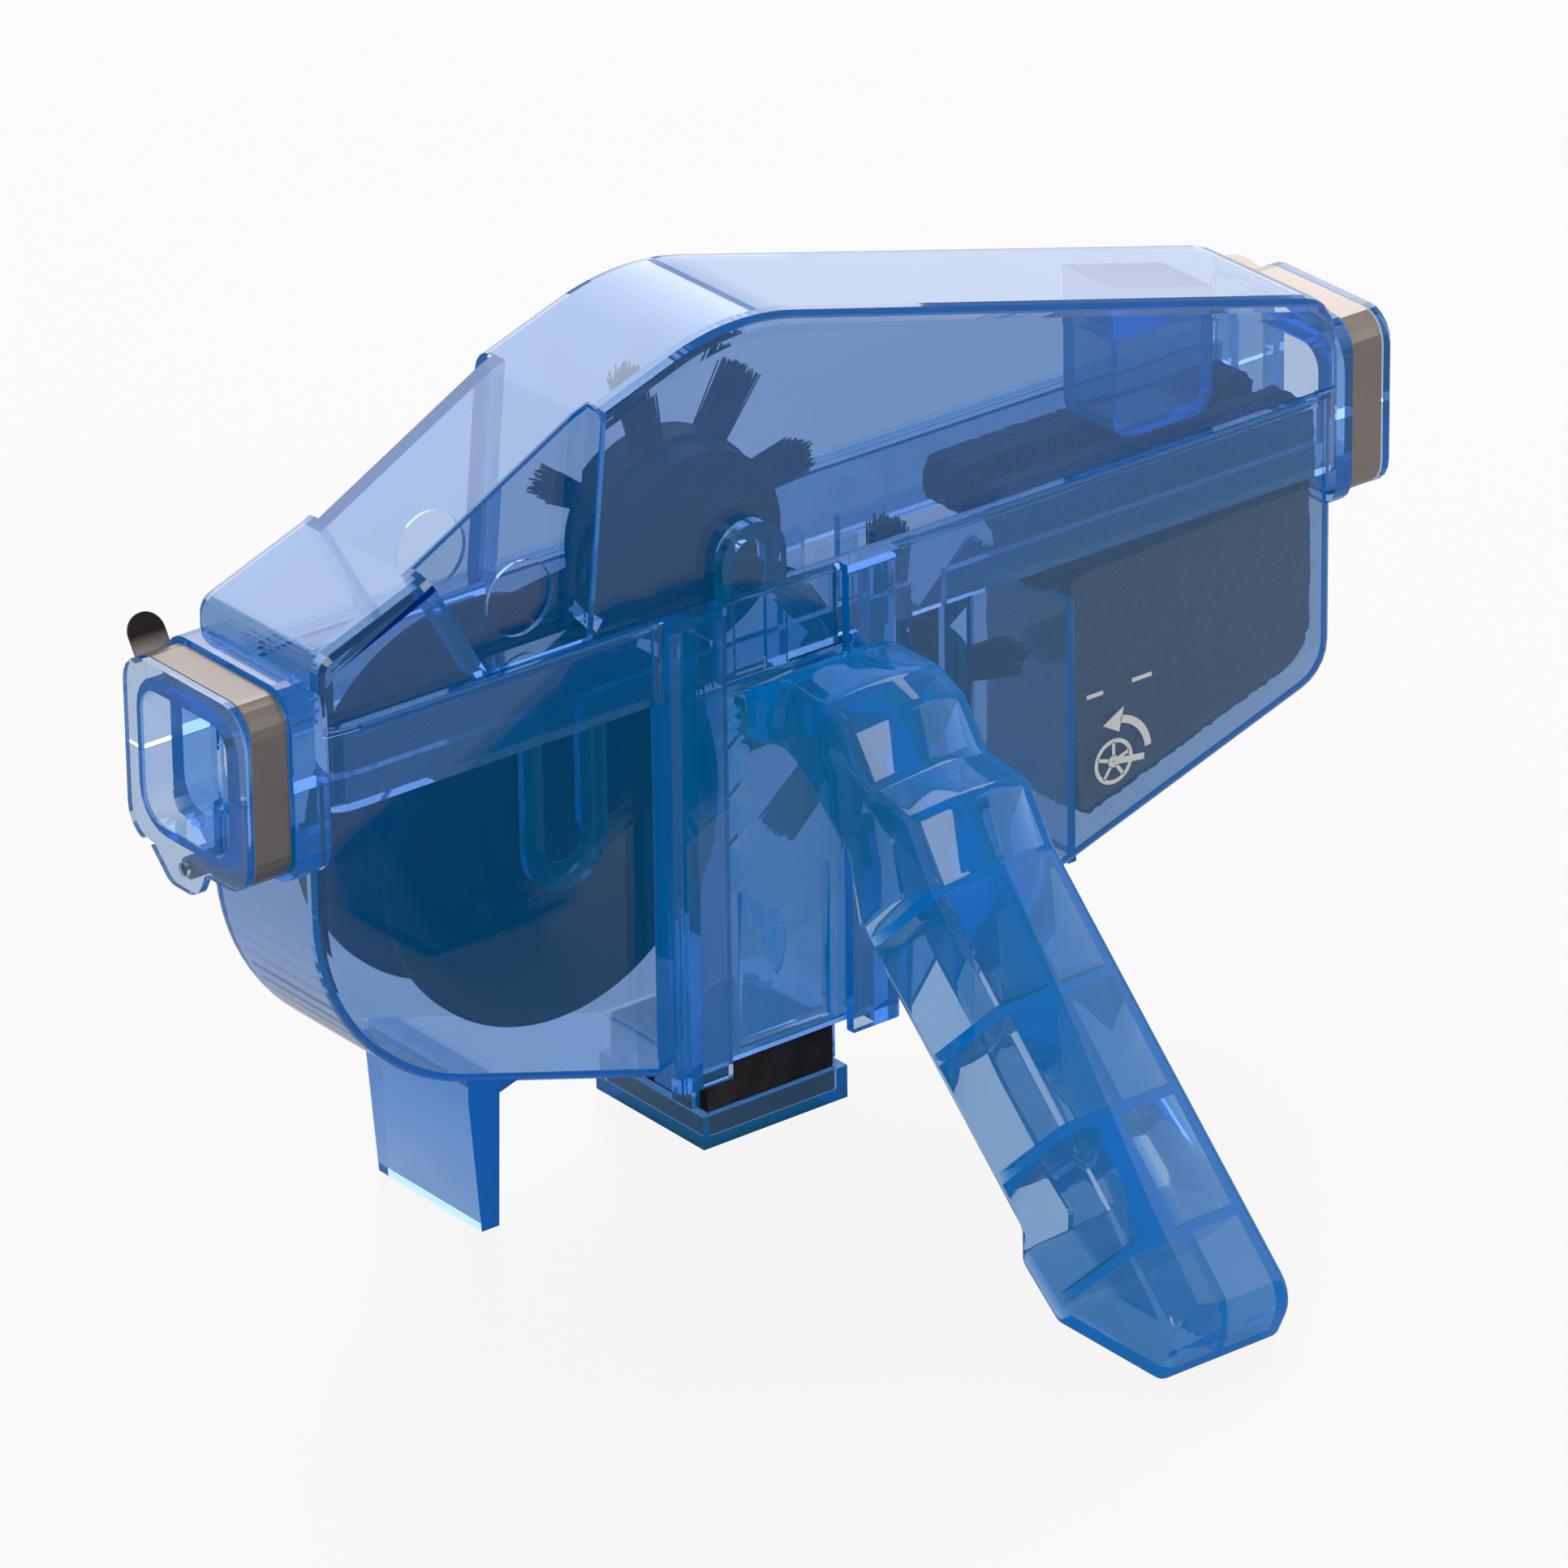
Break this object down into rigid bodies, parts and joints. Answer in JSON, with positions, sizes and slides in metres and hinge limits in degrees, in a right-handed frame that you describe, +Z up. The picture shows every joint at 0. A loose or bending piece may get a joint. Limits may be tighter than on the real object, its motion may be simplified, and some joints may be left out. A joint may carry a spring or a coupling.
{
  "type": "bicycle chain cleaner",
  "caption": "Clear blue clip-on bicycle chain cleaner: a tank and cover with steel latches at both chain ports, scrub discs, tufted brushes, a sponge, a magnet and a slanted handle.",
  "frame": {"origin": "middle of the magnet tray's underside, on the mid-plane between the two sides of the tank, where the tool stands on the bench", "axes": "+X along the chain from the front port to the rear port, +Y away from the handle, +Z up"},
  "size_m": [0.22, 0.1368, 0.1358],
  "materials": {
    "clear_blue": "polished translucent blue",
    "steel_band": "brushed",
    "pin_steel": "satin",
    "black_nylon": "matte",
    "axle_grey": "satin",
    "sponge_foam": "open-cell foam",
    "magnet_dark": "ferrite, satin"
  },
  "bodies": {
    "housing": {"lower_housing": "clear_blue", "upper_housing": "clear_blue", "handle": "clear_blue", "front_latch_pin": "pin_steel", "rear_latch_pin": "pin_steel", "sponge": "sponge_foam", "magnet": "magnet_dark", "magnet_tray": "clear_blue"},
    "front_latch_band": {"front_latch": "steel_band"},
    "rear_latch_band": {"rear_latch": "steel_band"},
    "top_brush": {"top_brush_hub": "black_nylon", "top_brush_axle": "axle_grey", "top_brush_tufts": "black_nylon"},
    "rear_brush": {"rear_brush_hub": "black_nylon", "rear_brush_axle": "axle_grey", "rear_brush_tufts": "black_nylon"},
    "front_scrub": {"front_scrub_axle": "axle_grey", "front_scrub_near_disc": "black_nylon", "front_scrub_far_disc": "black_nylon", "front_scrub_near_bristles": "black_nylon", "front_scrub_far_bristles": "black_nylon"}
  },
  "joints": [
    {"name": "front_latch_swing", "type": "hinge", "parent": "housing", "child": "front_latch_band", "pos_m": [-0.09315, 0.0015, 0.06839], "axis": [1, 0, 0], "range_deg": [0, 100]},
    {"name": "rear_latch_swing", "type": "hinge", "parent": "housing", "child": "rear_latch_band", "pos_m": [0.11715, 0.0015, 0.07089], "axis": [1, 0, 0], "range_deg": [0, 100]},
    {"name": "top_brush_spin", "type": "hinge", "parent": "housing", "child": "top_brush", "pos_m": [-0.0058, 0, 0.0953], "axis": [0, 1, 0], "continuous": true},
    {"name": "rear_brush_spin", "type": "hinge", "parent": "housing", "child": "rear_brush", "pos_m": [0.03, 0, 0.0609], "axis": [0, 1, 0], "continuous": true},
    {"name": "front_scrub_spin", "type": "hinge", "parent": "housing", "child": "front_scrub", "pos_m": [-0.0398, 0, 0.0609], "axis": [0, 1, 0], "continuous": true}
  ]
}
